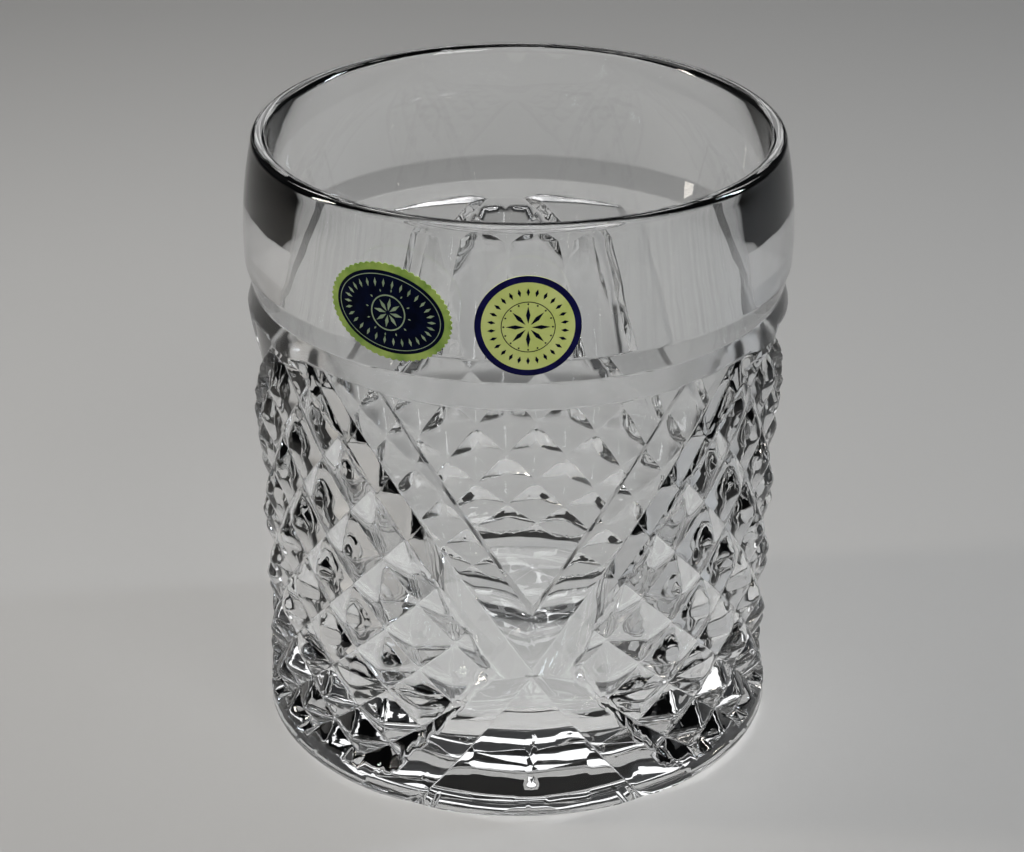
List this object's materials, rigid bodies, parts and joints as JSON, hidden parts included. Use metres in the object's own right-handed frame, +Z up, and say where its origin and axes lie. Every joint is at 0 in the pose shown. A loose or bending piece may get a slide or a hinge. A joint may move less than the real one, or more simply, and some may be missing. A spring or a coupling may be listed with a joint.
{
  "type": "whiskey tumbler",
  "caption": "Straight-sided cut crystal whiskey tumbler with V-shaped windows, diamond-cut fields, a plain band at the rim, a heavy floor and two small foil labels.",
  "frame": {"origin": "centre of the base, in the plane the tumbler stands on", "axes": "+Z up along the tumbler's axis, towards the rim; one V window faces -Y"},
  "size_m": [0.0834, 0.0836, 0.097],
  "materials": {
    "crystal": "polished clear crystal",
    "adhesive": "clear pressure-sensitive film",
    "oval_foil": "printed foil paper, satin",
    "round_foil": "printed foil paper, satin"
  },
  "bodies": {
    "root": {"tumbler_glass": "crystal", "oval_label_adhesive": "adhesive", "oval_label": "oval_foil", "round_label_adhesive": "adhesive", "round_label": "round_foil"}
  },
  "joints": []
}
